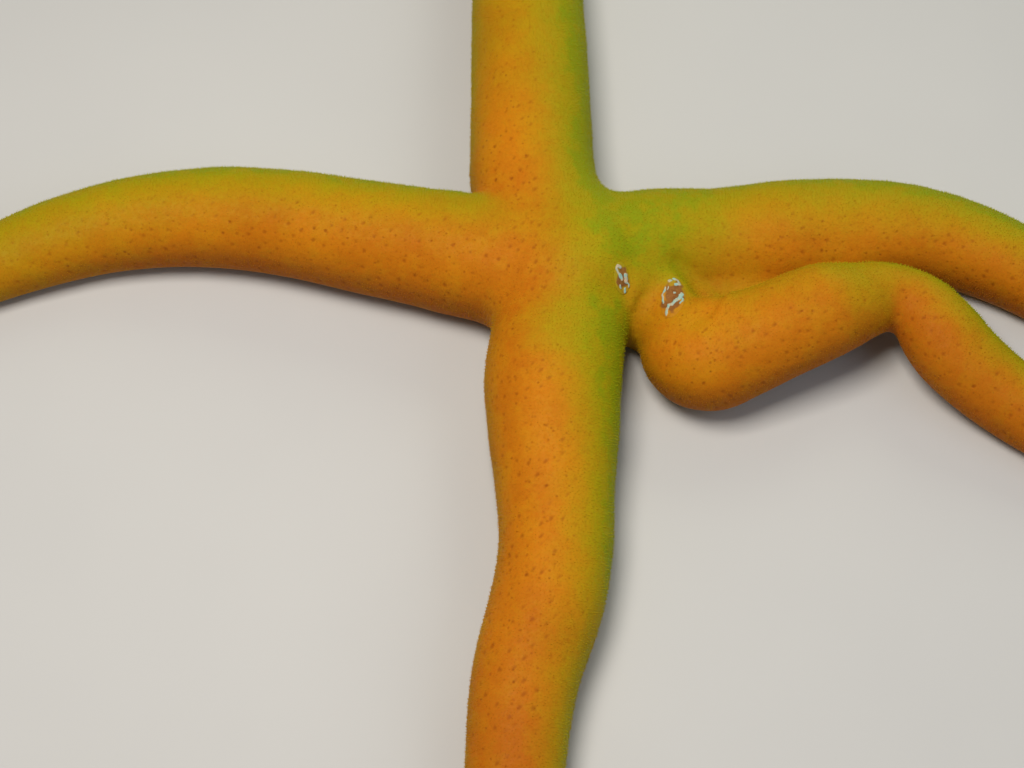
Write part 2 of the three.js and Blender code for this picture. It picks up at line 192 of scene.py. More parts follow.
class Arm:
    """One arm and its centre line, from the disc's middle out to the tip."""

    def __init__(self, bearing, length, girth, taper, turns, swells=(), lifts=(), root=DISC_CUT):
        self.length, self.share, self.taper = length, girth, taper
        self.swells, self.lifts, self.root = swells, lifts, root
        self.s = np.arange(0, length + STEP / 2, STEP)
        bend = sum(by * ease((self.s - at) / over + 0.5) for at, over, by in turns)
        self.heading = np.radians(bearing + bend)
        self.x = DISC_CENTRE[0] + STEP * np.append(0, np.cos(self.heading[:-1]).cumsum())
        self.y = DISC_CENTRE[1] + STEP * np.append(0, np.sin(self.heading[:-1]).cumsum())
        self.nose = NOSE_SHARE * self.girth(np.array(float(length)))

    def girth(self, s):
        """The arm's radius at s, before its end rounds off."""
        t = np.clip(s / self.length, 0, 1)
        root = ROOT_SHARE + (1 - ROOT_SHARE) * ease(s / ROOT_LENGTH)
        thinning = 1 - self.taper * TAPER_LOSS * t**TAPER_CURVE
        thinning = thinning - (END_LOSS - TAPER_LOSS * self.taper) * t**END_CURVE
        return ARM_RADIUS * self.share * thinning * root * (1 + bulge(s, self.swells))

    def nearest(self, x, y, start=0, up_to=None):
        """For each place: s at the centre line's nearest point, how far off that is, and
        the distance to its right."""
        first = int(start / STEP)
        count = len(self.s) if up_to is None else int(up_to / STEP) + 1
        near = np.empty(len(x), int)
        for i in range(0, len(x), BLOCK):
            block = slice(i, i + BLOCK)
            off_x = x[block, None] - self.x[None, first:count]
            off_y = y[block, None] - self.y[None, first:count]
            near[block] = first + (off_x**2 + off_y**2).argmin(1)
        cos, sin = np.cos(self.heading[near]), np.sin(self.heading[near])
        off_x, off_y = x - self.x[near], y - self.y[near]
        along = off_x * cos + off_y * sin
        past_tip = (near == count - 1) & (up_to is None)
        most = np.where(past_tip, np.inf, STEP / 2)
        along = np.clip(along, np.where(near == first, 0, -STEP / 2), most)
        off_x, off_y = off_x - along * cos, off_y - along * sin
        return self.s[near] + along, np.hypot(off_x, off_y), off_x * sin - off_y * cos

    def outside(self, s, away, z):
        """How far a point at height z is outside the arm's skin, and negative inside it."""
        r, lift = self.girth(s), bulge(s, self.lifts)
        nose = np.clip((s - (self.length - self.nose)) / self.nose, 0, None)
        sole = lift + AXIS_HEIGHT * r * (1 - np.sqrt(1 - np.minimum(nose, 1) ** 2)) + SOLE_DEPTH
        v = (z - lift) / r - AXIS_HEIGHT
        power = np.where(v > 0, 2, SOLE_CURVE)
        height = np.where(v > 0, CROWN_HEIGHT, BELLY_DEPTH)
        size = ((away / r) ** power + np.abs(v / height) ** power) ** (1 / power)
        size = np.sqrt(size**2 + nose**2)
        return np.maximum((size - 1) * r + COAT_DEPTH, sole - z)

    def at(self, s):
        """The centre line's place and bearing at s, with the arm's radius and lift there."""
        i = int(s / STEP)
        s = np.array(float(s))
        return self.x[i], self.y[i], self.heading[i], float(self.girth(s)), float(bulge(s, self.lifts))

    def furrow(self, s, away, z):
        """How far a point is outside the furrow under the arm, and negative in it."""
        r, lift = self.girth(s), bulge(s, self.lifts)
        up = (z - lift) / (FURROW_DEPTH * r)
        narrowing = (FURROW_HALF_WIDTH - FURROW_ROOF_HALF_WIDTH) * np.clip(up, 0, 1)
        wall = away - r * (FURROW_HALF_WIDTH - narrowing) - FURROW_EASE
        roof = z - lift - FURROW_DEPTH * r - FURROW_EASE
        ending = s - (self.length - FURROW_SHORT * self.nose)
        return np.maximum(np.maximum(wall, roof), ending)


ARM = {name: Arm(**sizes) for name, sizes in ARMS.items()}


# ---------------------------------------------------------------- the skin's field
def smooth_least(values, softness):
    """The least of some distances, with the corners between them filled in."""
    least = np.minimum.reduce(values)
    total = sum(np.exp((least - value) / softness) for value in values)
    return least - softness * np.log(total)


def web_at(x, y):
    """How softly the arms' roots run into each other at a place, from the disc's middle."""
    radius = np.hypot(x, y)
    aside = np.abs((np.degrees(np.arctan2(y, x)) - PINCH["bearing"] + 540) % 360 - 180)
    pinched = PINCH["by"] * falling(aside, PINCH["aside"]) * rising(radius, PINCH["out"])
    return HARD + WEB * (1 - pinched) * (1 - rising(radius, WEB_FADES))


def crook(x, y, z):
    """How far points are outside what fills the crook of the knee."""
    arm = ARM[CROOK["arm"]]
    off_x = x - DISC_CENTRE[0] - CROOK["middle"][0]
    off_y = y - DISC_CENTRE[1] - CROOK["middle"][1]
    softness = HARD + CROOK["softness"] * ease(1 - np.hypot(off_x, off_y) / CROOK["reach"])
    before, after = arm.nearest(x, y, 0, CROOK_BEFORE), arm.nearest(x, y, *CROOK_AFTER)
    both = [arm.outside(s[:, None], away[:, None], z) for s, away, _ in (before, after)]
    return np.maximum(smooth_least(both, softness[:, None]), SOLE_DEPTH - z)


def folded(x, y, z, body, fold):
    """The body's field with a soft round fold joined to it; x and y are from the disc's middle."""
    off = (np.stack([x, y]).T - fold["middle"][:2]) / fold["reach"][:2]
    off_z = (z - fold["middle"][2]) / fold["reach"][2]
    own = (np.sqrt((off**2).sum(1)[:, None] + off_z**2) - 1) * fold["reach"][1]
    close = own.min(1) < FOLD_REACH
    both = [body[close], np.maximum(own, SOLE_DEPTH - z)[close]]
    body[close] = smooth_least(both, fold["softness"])
    return body


def creased(x, y, z, body):
    """The body's field with the crease pressed into it; x and y are from the disc's middle."""
    start = np.array(CREASE["from"])
    way = np.array(CREASE["to"]) - start
    close = np.hypot(x - start[0] - way[0] / 2, y - start[1] - way[1] / 2) < CREASE_REACH
    off = [part - at for part, at in zip((x[close, None], y[close, None], z), start)]
    share = np.clip(sum(a * b for a, b in zip(off, way)) / (way @ way), 0, 1)
    away = np.sqrt(sum((a - share * b) ** 2 for a, b in zip(off, way)))
    radius = CREASE["radius"] * (1 - CREASE_ENDS * (2 * share - 1) ** 2)
    parts = [-body[close], away - radius]
    body[close] = -smooth_least(parts, CREASE["softness"])
    return body


def skin_field(x, y, z):
    """How far each height z above each place (x, y) is outside the skin."""
    shape = (len(x), len(z))
    z = z[None, :]
    off_x, off_y = x - DISC_CENTRE[0], y - DISC_CENTRE[1]
    radius = np.hypot(off_x, off_y)
    web = web_at(off_x, off_y)
    near_disc = radius < sum(WEB_FADES) + WEB_PAST
    body = np.full(shape, FAR)
    groove = np.full(shape, FAR)
    roots, pressed = [], []
    for name, arm in ARM.items():
        s, away, _ = arm.nearest(x, y)
        close = away < FELT_SHARE * arm.girth(s) + FELT_PAST
        s, away = s[close, None], away[close, None]
        own = np.full(shape, FAR)
        own[close] = arm.outside(s, away, z)
        if name in PRESSED["arms"]:
            pressed.append(own)
        body = np.minimum(body, own)
        groove[close] = np.minimum(groove[close], arm.furrow(s, away, z))
        s, away, _ = arm.nearest(x[near_disc], y[near_disc], 0, arm.root + PAST_CUT)
        roots.append(arm.outside(s[:, None], away[:, None], z))
    joined = np.maximum(smooth_least(roots, web[near_disc, None]), SOLE_DEPTH - z)
    filling = crook(x[near_disc], y[near_disc], z)
    body[near_disc] = smooth_least([joined, filling, body[near_disc]], SEAM)
    bridged = rising(radius, PRESSED["from"]) * falling(radius, PRESSED["up_to"])
    bridge = smooth_least(pressed, HARD + PRESSED["softness"] * bridged[:, None])
    body = np.minimum(body, np.maximum(bridge, SOLE_DEPTH - z))
    for fold in FOLDS:
        body = folded(off_x, off_y, z, body, fold)
    body = folded(off_x, off_y, z, creased(off_x, off_y, z, body), BOSS)
    narrowing = (MOUTH["radius"] - MOUTH["top_radius"]) * np.clip(z / MOUTH["depth"], 0, 1)
    mouth = np.maximum(radius[:, None] - MOUTH["radius"] + narrowing, z - MOUTH["depth"])
    groove = np.minimum(groove, mouth - FURROW_EASE)
    return -smooth_least([-body, groove], SEAM)


# ---------------------------------------------------------------- the skin's surface
def windows(values, shifts):
    """The parts of a grid that start at each shift, all of one size."""
    size = np.array(values.shape) - np.max(shifts, axis=0)
    return [values[tuple(slice(c, c + n) for c, n in zip(shift, size))] for shift in shifts]


class Grid:
    """The skin's field at the points of a grid over the whole animal."""

    def __init__(self, low, high, step):
        self.low, self.step = np.array(low), step
        axes = [np.arange(a, b, step) for a, b in zip(low, high)]
        x, y = (part.ravel() for part in np.meshgrid(*axes[:2], indexing="ij"))
        near = np.zeros(len(x), bool)
        for arm in ARM.values():
            for i in range(0, len(arm.s), NEAR_EVERY):
                reach = arm.girth(arm.s[i]) + NEAR_PAST
                near |= (x - arm.x[i]) ** 2 + (y - arm.y[i]) ** 2 < reach**2
        field = np.full((len(x), len(axes[2])), FAR)
        field[near] = skin_field(x[near], y[near], axes[2])
        self.field = field.reshape([len(axis) for axis in axes])
        self.close_pinholes()

    def close_pinholes(self):
        """Fills where the skin would meet itself along a single edge of the grid."""
        for _ in range(PINHOLE_ROUNDS):
            inside = self.field < 0
            for axis in (2, 1, 0):
                square = np.insert(list(np.ndindex(2, 2)), axis, 0, axis=1)
                low, right, left, high = windows(inside, square)
                crossed = (low == high) & (right == left) & (low != right)
                for corner in windows(self.field, square):
                    corner[crossed & (corner >= 0)] = PINHOLE

    def felt(self, places):
        """The field's value and slope at some places."""
        at = (places - self.low) / self.step
        base = np.clip(at.astype(int), 0, np.array(self.field.shape) - 2)
        share = at - base
        value = np.zeros(len(places))
        slope = np.zeros((len(places), 3))
        for corner in np.ndindex(2, 2, 2):
            weights = np.where(corner, share, 1 - share)
            signs = np.where(corner, 1, -1)
            there = self.field[tuple((base + corner).T)]
            value += there * weights.prod(1)
            for axis in range(3):
                slope[:, axis] += there * signs[axis] * np.delete(weights, axis, 1).prod(1)
        return value, slope / self.step

    def surface(self):
        """The places and quads of a closed surface where the field passes zero."""
        inside = self.field < 0
        corners = np.array(list(np.ndindex(2, 2, 2)))
        count = sum(window.astype(np.int8) for window in windows(inside, corners))
        cells = np.argwhere((count > 0) & (count < 8))
        values = np.stack([self.field[tuple((cells + corner).T)] for corner in corners], 1)
        total, hits = np.zeros((len(cells), 3)), np.zeros(len(cells))
        for a in range(8):
            for b in range(a + 1, 8):
                if np.abs(corners[a] - corners[b]).sum() != 1:
                    continue
                crossed = (values[:, a] < 0) != (values[:, b] < 0)
                way = values[crossed, a] / (values[crossed, a] - values[crossed, b])
                total[crossed] += corners[a] + way[:, None] * (corners[b] - corners[a])
                hits += crossed
        number = np.full(count.shape, -1)
        number[tuple(cells.T)] = np.arange(len(cells))
        quads = []
        for axis in range(3):
            low = np.delete(inside, -1, axis)
            edges = np.argwhere(low != np.delete(inside, 0, axis))
            ring = []
            for back_u, back_v in ((1, 1), (0, 1), (0, 0), (1, 0)):
                cell = edges.copy()
                cell[:, (axis + 1) % 3] -= back_u
                cell[:, (axis + 2) % 3] -= back_v
                ring.append(number[tuple(cell.T)])
            quad = np.stack(ring, 1)
            faces_back = ~low[tuple(edges.T)]
            quad[faces_back] = quad[faces_back, ::-1]
            quads.append(quad)
        return self.low + self.step * (cells + total / hits[:, None]), np.concatenate(quads)


def summed(at, values, count):
    """The sum of the (x, y, z) values that belong to each point."""
    return np.stack([np.bincount(at, values[:, axis], count) for axis in range(3)], 1)


def evened(places, quads, grid):
    """The surface with its points spread evenly and laid back onto the field's zero."""
    ends = np.concatenate([quads, np.roll(quads, 1, 1)]).reshape(-1)
    others = np.concatenate([np.roll(quads, 1, 1), quads]).reshape(-1)
    count = np.bincount(ends, minlength=len(places))[:, None]
    for _ in range(EVENINGS):
        middle = summed(ends, places[others], len(places)) / count
        places = places + EVENING * (middle - places)
        for _ in range(2):
            value, slope = grid.felt(places)
            steep = np.maximum((slope**2).sum(1), LEAST_STEEP)
            places = places - (value / steep)[:, None] * slope
    return places


def facings(places, quads):
    """Which way the surface faces at each of its points."""
    a, b, c, d = (places[quads[:, i]] for i in range(4))
    face = np.cross(c - a, d - b)
    total = sum(summed(quads[:, i], face, len(places)) for i in range(4))
    return total / np.linalg.norm(total, axis=1)[:, None]


def felt_out_skin():
    """The skin's places and quads, before its own relief."""
    low = [side / MM - GRID_MARGIN for side in cad_box[0]]
    high = [side / MM + GRID_MARGIN for side in cad_box[1]]
    grid = Grid(low, high, GRID_STEP)
    places, quads = grid.surface()
    places = evened(places, quads, grid)
    places[:, 2] = np.maximum(places[:, 2], SOLE_DEPTH)
    return places, quads


class Along:
    """Where each point of the skin lies along its own arm, and around it."""

    def __init__(self, places):
        count = len(places)
        self.arm = np.zeros(count, int)
        self.s, nearest = np.zeros(count), np.full(count, np.inf)
        self.each, weights = [], []
        for number, arm in enumerate(ARM.values()):
            s, away, right = arm.nearest(places[:, 0], places[:, 1])
            share = away / arm.girth(s)
            weights.append(np.exp(-away / ARMS_MIX))
            height = places[:, 2] - bulge(s, arm.lifts) - AXIS_HEIGHT * arm.girth(s)
            self.each.append((s, np.arctan2(right, height)))
            closer = share < nearest
            self.arm[closer], self.s[closer], nearest[closer] = number, s[closer], share[closer]
        length = np.array([arm.length for arm in ARM.values()])
        self.to_tip = length[self.arm] - self.s
        self.weights = np.array(weights) / np.sum(weights, axis=0)

    def mixed(self, by_arm):
        """A value of each arm, or 0, running smoothly from arm to arm."""
        return np.array([by_arm.get(name, 0) for name in ARM]) @ self.weights


# The skin's map has two columns of cells. Each arm's strip fills a cell, and the disc's
# two faces share the last one.
MAP_COLUMNS = 2
MAP_ROWS = 3
MAP_LENGTH = 132  # of skin along a cell
MAP_EDGE = 0.02
STRIP_HALF = 0.44  # of a cell's height
FACE_HALF = 0.22  # of a cell's width
DISC_REACH = 17
DISC_STEEP = 0.55  # the disc's faces on the map face up or down at least this much


def unwrapped(places, quads, facing, along):
    """A map of the skin: a strip for each arm, cut along its furrow, and the disc's two faces."""
    flat = places[quads][:, :, :2] - DISC_CENTRE
    middle = flat.mean(1)
    steep = facing[quads, 2].mean(1)
    on_disc = (np.hypot(*middle.T) < DISC_REACH) & (np.abs(steep) > DISC_STEEP)
    uv = np.zeros((len(quads), 4, 2))
    arm = along.arm[quads[:, 0]]
    for number, (s, turn) in enumerate(along.each):
        of_arm = (arm == number) & ~on_disc
        around = turn[quads[of_arm]]
        around -= 2 * np.pi * np.round((around - around[:, :1]) / (2 * np.pi))
        column, row = divmod(number, MAP_ROWS)
        share = MAP_EDGE + (1 - 2 * MAP_EDGE) * s[quads[of_arm]] / MAP_LENGTH
        uv[of_arm, :, 0] = (column + share) / MAP_COLUMNS
        uv[of_arm, :, 1] = (row + 0.5 + STRIP_HALF * around / np.pi) / MAP_ROWS
    for side, under in enumerate((False, True)):
        face = on_disc & ((steep < 0) == under)
        off_x, off_y = flat[face, :, 0] / DISC_REACH, flat[face, :, 1] / DISC_REACH
        uv[face, :, 0] = (MAP_COLUMNS - 0.75 + 0.5 * side + FACE_HALF * off_x) / MAP_COLUMNS
        uv[face, :, 1] = (MAP_ROWS - 0.5 + STRIP_HALF * off_y) / MAP_ROWS
    return uv


# ---------------------------------------------------------------- pores and relief
PORE_SPACING = (1.0, 2.05)
PORE_WIDTH = (0.22, 0.3)
PORE_STRENGTH = (0.2, 1)
PORE_DEPTH = 0.13
FINE_PORES = 1.2  # across the cells that hold one fine pore each, in mm
RELIEF_HEIGHT = 0.25  # of the finest relief, which is in the materials
CLOUDS = (14, 3.2, 0.6)  # how wide the soft changes in colour are, in mm
HOLLOW_DEPTH = 0.045
HOLLOW_WIDTH = 0.95
LUMPS = ((9.0, 0.16), (3.4, 0.045), (1.5, 0.02))  # across and high
LUMPS_FROM = (1, 3)  # the height above the floor where they start, and over how much
# Pores are on skin that faces up at least this much, is this high and this far from a tip.
PORES_FACE = -0.25
PORES_ABOVE = 2
PORES_TO_TIP = 3
CLOSER_PORES = (0.75, 50)  # their spacing at a tip, as a share, and how far in that fades
PORES_LOST = 0.85  # how much of them the olive hides
# Painted green light, which turns the orange to olive: its patch on the disc, drawn in on its left and
# stretched towards the front.
GREEN_LIGHT_MIDDLE = (8.5, 1.0)
GREEN_LIGHT_NARROWER = (1.45, 0.75)
GREEN_LIGHT_FADES = (4, 20)
GREEN_LIGHT_MOST = 0.88
KNEE_CLEAR = ((2, 6), 0.85)  # where it leaves the knee, and by how much
GREEN_LIGHT_SIDE = (0.72, 0.69, 0.05)  # the way that the sides lit olive by painted green light face
# How early, and over what range of facings, each arm's sides turn olive in the painted green light;
# how much earlier far out, or later below 0; how much both its sides turn, as a painted rim sheen; and
# how much all of it does, far out.
GREEN_LIGHT_EARLY = {"back": 0.22, "left": 0.5, "front": 0.3, "right_front": 0.42, "right_back": 0.6}
GREEN_LIGHT_OVER = {"back": 0.9, "left": 1.4, "front": 0.9, "right_front": 1.5, "right_back": 1.3}
GREEN_LIGHT_FAR = {"left": 0.4, "front": -0.34, "right_back": 0.1}
GREEN_LIGHT_FAR_OUT = 100
GREEN_RIM_SHEEN = {"back": 0.6, "front": 0.3}
GREEN_RIM_SHEEN_FACES = (0.8, 0.7)
GREEN_LIGHT_OUT = {"back": 0.42}
GREEN_LIGHT_OUT_FROM = (16, 34)
YELLOW_ROOT = {"middle": (-3.5, -15), "reach": 9, "by": 0.4}
REDDER_FAR = {"front": 0.6, "right_front": 0.55}
REDDER_FROM = (40, 45)
# The facings where painted shade reddens the sides, and where the belly turns pale: from here down,
# over this much.
SHADED_SIDES = (0.75, 1.1)
PALE_BELLY = (-0.1, 0.8)
# Painted shade in the crease behind the knee.
SHADED_CREASE = {"middle": (20, -3), "reach": 7, "by": 0.8}
# Where less of the painted green light shows, as painted shade: in the crease behind the knee, and in
# its crook.
ORANGER = (
    {"middle": (21, -2.5), "reach": 8, "by": 0.35},
    {"middle": (19.5, -9.5), "reach": 7, "by": 0.6},
)
NAP_CLEAR = 0.7  # gills stand full where pores and plates leave this much of the skin free
NAP_FACES = (-0.35, 0.4)  # and from this facing up, over this much
EYE_WIDTH = 0.9
EYE_HEIGHT = 0.8  # in shares of the nose's length
PLATES = ("madreporite", "madreporite_second")
SEED = 7


def tree_of(places, numbers):
    """A tree that finds the nearest of some places, and gives their numbers."""
    tree = KDTree(len(numbers))
    for number, place in zip(numbers, places):
        tree.insert(place, number)
    tree.balance()
    return tree


def spotted(places, spot):
    """How much of a round soft spot is at each place."""
    off = np.hypot(*(places[:, :2] - DISC_CENTRE - spot["middle"]).T)
    return spot["by"] * (1 - ease(off / spot["reach"]))


def lumps(places):
    """Soft unevenness of the skin, in mm."""
    total = np.zeros(len(places))
    for across, high in LUMPS:
        total += high * np.array([noise.noise(Vector(place / across)) for place in places])
    return total


def pores(places, facing, along, rng):
    """Which points of the skin have a pore, spread apart at random."""
    high = (facing[:, 2] > PORES_FACE) & (places[:, 2] > PORES_ABOVE)
    top = np.flatnonzero(high & (along.to_tip > PORES_TO_TIP))
    order = rng.permutation(top)
    tree = tree_of(places[top], top)
    free = np.zeros(len(places), bool)
    free[top] = True
    least, over = CLOSER_PORES
    small = least + (1 - least) * ease(along.to_tip / over)
    sites = []
    for i in order:
        if not free[i]:
            continue
        sites.append(i)
        for _, j, _ in tree.find_range(places[i], small[i] * rng.uniform(*PORE_SPACING)):
            free[j] = False
    return np.array(sites)


def painted_green_light_at(places, facing, along):
    """How far painted green light turns the skin from orange to a yellow olive: on the disc's right,
    in the corners there, and on the sides that face back and right, with a painted rim sheen on both
    sides of some arms."""
    off = (places[:, :2] - DISC_CENTRE - GREEN_LIGHT_MIDDLE).T
    off_x, off_y = (np.where(a < 0, share, 1) * a for a, share in zip(off, GREEN_LIGHT_NARROWER))
    past_knee, cleared = KNEE_CLEAR
    on_knee = along.mixed({"right_front": 1}) * rising(-off[1], past_knee)
    disc = (1 - rising(np.hypot(off_x, off_y), GREEN_LIGHT_FADES)) * (1 - cleared * on_knee)
    side = facing @ np.array(GREEN_LIGHT_SIDE) + along.mixed(GREEN_LIGHT_FAR) * ease(along.s / GREEN_LIGHT_FAR_OUT)
    flank = ease((side + along.mixed(GREEN_LIGHT_EARLY)) / along.mixed(GREEN_LIGHT_OVER))
    both_sides = falling(facing[:, 2], GREEN_RIM_SHEEN_FACES) * along.mixed(GREEN_RIM_SHEEN)
    outer = along.mixed(GREEN_LIGHT_OUT) * rising(along.s, GREEN_LIGHT_OUT_FROM)
    sides = 1 - (1 - flank) * (1 - both_sides) * (1 - outer)
    kept = 1.0
    for spot in ORANGER:
        kept = kept * (1 - spotted(places, spot))
    return kept * (1 - (1 - GREEN_LIGHT_MOST * disc) * (1 - spotted(places, YELLOW_ROOT)) * (1 - sides))


PLATE_BLUR = 2  # how far around a plate's middle the skin's facing is read
PLATE_HIGH = 4  # how far above and below it the skin is looked for
PLATE_RIM = (0.3, 0.3, 2)  # what the gills leave free around a plate
RIM_FADES = (0.9, 0.3)


def plate_frame(name, places, facing):
    """A sieve plate's middle, its axes (long, short and outward) and its reach along each."""
    corners = np.array([tuple(point.co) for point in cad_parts[name].data.vertices]) / MM
    middle = (corners.min(0) + corners.max(0)) / 2
    outward = np.exp(-((places - middle) ** 2).sum(1) / PLATE_BLUR**2) @ facing
    outward /= np.linalg.norm(outward)
    off = corners - middle
    long = np.linalg.svd(off - np.outer(off @ outward, outward), full_matrices=False)[2][0]
    long *= np.sign(long[1])
    axes = np.array([long, np.cross(outward, long), outward])
    off_long, off_short, up = ((places - middle) @ axes.T).T
    under = np.exp(-(off_long**2 + off_short**2)) * (np.abs(up) < PLATE_HIGH)
    middle = middle + outward * (under @ up) / under.sum()
    return middle, axes, np.abs(off @ axes.T).max(0)


class Skin:
    """The skin's final shape and what varies over it."""

    def __init__(self):
        rng = np.random.default_rng(SEED)
        places, self.quads = felt_out_skin()
        facing = facings(places, self.quads)
        self.along = Along(places)
        self.uv = unwrapped(places, self.quads, facing, self.along)
        # Painted green light: how far the skin turns olive.
        self.flush = painted_green_light_at(places, facing, self.along)
        sites = pores(places, facing, self.along, rng)
        strength = rng.uniform(*PORE_STRENGTH, len(sites)) * (1 - PORES_LOST * self.flush[sites])
        width = rng.uniform(*PORE_WIDTH, len(sites))
        tree = tree_of(places[sites], range(len(sites)))
        nearest = (tree.find(place)[1:] for place in places)
        site, off = (np.array(part) for part in zip(*nearest))
        self.pit = strength[site] * np.exp(-((off / width[site]) ** 2))
        hollow = np.exp(-((off / HOLLOW_WIDTH) ** 2))
        low = PORE_DEPTH * self.pit + HOLLOW_DEPTH * hollow
        lumpy = lumps(places) * rising(places[:, 2], LUMPS_FROM)
        # The far ends of two arms go redder; painted shade deepens the orange on the sides that face
        # down and in the crease behind the knee, except under the painted green light.
        redder = self.along.mixed(REDDER_FAR) * rising(self.along.s, REDDER_FROM)
        turned = falling(facing[:, 2], SHADED_SIDES)
        orange = (1 - turned) * (1 - redder) * (1 - spotted(places, SHADED_CREASE))
        self.deep = (1 - orange) * (1 - self.flush)
        self.pale = falling(facing[:, 2], PALE_BELLY)
        self.eye = self.eyespots(places)
        clear = 1 - self.pit - self.near_plates(places, facing)
        self.nap = ease(clear / NAP_CLEAR) * rising(facing[:, 2], NAP_FACES)
        self.places = places + facing * (lumpy - low)[:, None]
        self.facing = facings(self.places, self.quads)

    def eyespots(self, places):
        """The red spots at the arms' ends."""
        total = np.zeros(len(places))
        for arm in ARM.values():
            x, y, _, _, lift = arm.at(arm.length)
            end = np.array([x, y, lift + EYE_HEIGHT * arm.nose])
            total += np.exp(-(((places - end) ** 2).sum(1) / EYE_WIDTH**2))
        return total

    def near_plates(self, places, facing):
        """1 on a sieve plate, falling to 0 around it."""
        total = np.zeros(len(places))
        for name in PLATES:
            middle, axes, reach = plate_frame(name, places, facing)
            local = (places - middle) @ axes.T / (reach + np.array(PLATE_RIM))
            total += 1 - rising(np.linalg.norm(local, axis=1), RIM_FADES)
        return total

    def worn(self):
        """What the skin's materials and its gills read off it."""
        names = ("flush", "pit", "pale", "deep", "eye", "nap")
        return {name: getattr(self, name) for name in names}


def mesh_of(name, places, faces, attributes=None, uv=None):
    """A smooth mesh in metres from places in mm."""
    mesh = bpy.data.meshes.new(name)
    faces = faces.tolist() if isinstance(faces, np.ndarray) else faces
    mesh.from_pydata((np.asarray(places) * MM).tolist(), [], faces)
    for key, values in (attributes or {}).items():
        kind, field = ("FLOAT", "value") if values.ndim == 1 else ("FLOAT_VECTOR", "vector")
        mesh.attributes.new(key, kind, "POINT").data.foreach_set(field, values.ravel())
    if uv is not None:
        mesh.uv_layers.new(name="OFBake").data.foreach_set("uv", uv.ravel())
    mesh.shade_smooth()
    return mesh


def shown(name, mesh, *materials):
    """An object that shows a mesh."""
    made = bpy.data.objects.new(name, mesh)
    scene.collection.objects.link(made)
    for material in materials:
        mesh.materials.append(material)
    return made


def piece(name, mesh, slot, *materials):
    """A piece of the animal, on its one body."""
    made = shown(name, mesh, *materials)
    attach(made, "root")
    return made


# ---------------------------------------------------------------- node trees
def put(tree, kind, inputs=None, **settings):
    """A node with its settings, its inputs given as values or as sockets to join."""
    made = tree.nodes.new(kind)
    for key, value in settings.items():
        setattr(made, key, value)
    for key, value in (inputs or {}).items():
        if isinstance(value, bpy.types.NodeSocket):
            tree.links.new(value, made.inputs[key])
        else:
            made.inputs[key].default_value = value
    return made


def paint(code):
    """A hex colour as a linear colour."""
    parts = [int(code[i : i + 2], 16) / 255 for i in (0, 2, 4)]
    linear = [p / 12.92 if p <= 0.04045 else ((p + 0.055) / 1.055) ** 2.4 for p in parts]
    return (*linear, 1.0)


def blend(tree, share, under, over):
    """One colour over another."""
    inputs = {0: share, 6: under, 7: over}
    return put(tree, "ShaderNodeMix", inputs, data_type="RGBA", clamp_factor=True).outputs[2]


def layered(tree, colour, layers):
    """A colour under layers, each a share and a hex colour."""
    for share, code in layers:
        colour = blend(tree, share, colour, paint(code))
    return colour


def maths(tree, kind, *values, clamp=False):
    """A sum on numbers."""
    made = put(tree, "ShaderNodeMath", dict(enumerate(values)), operation=kind, use_clamp=clamp)
    return made.outputs[0]


def times(tree, *values):
    """The product of two numbers."""
    return maths(tree, "MULTIPLY", *values)


def ramp(tree, value, low, high, to_low=0.0, to_high=1.0):
    """A value taken smoothly from one range to another."""
    inputs = {0: value, 1: low, 2: high, 3: to_low, 4: to_high}
    made = put(tree, "ShaderNodeMapRange", inputs, interpolation_type="SMOOTHSTEP")
    return made.outputs[0]


def cloud(tree, where, across):
    """Soft random light and dark, of a size across in mm."""
    inputs = {"Vector": where, "Scale": 1 / (across * MM), "Detail": 3.0, "Roughness": 0.55}
    return put(tree, "ShaderNodeTexNoise", inputs).outputs[0]


def node_tree(name, kind, inputs, outputs):
    """An empty group of nodes with named sockets, each with its kind."""
    tree = bpy.data.node_groups.new(name, kind)
    for side, sockets in (("INPUT", inputs), ("OUTPUT", outputs)):
        for label, socket in sockets.items():
            tree.interface.new_socket(label, in_out=side, socket_type="NodeSocket" + socket)
    return tree, tree.nodes.new("NodeGroupInput").outputs, tree.nodes.new("NodeGroupOutput").inputs


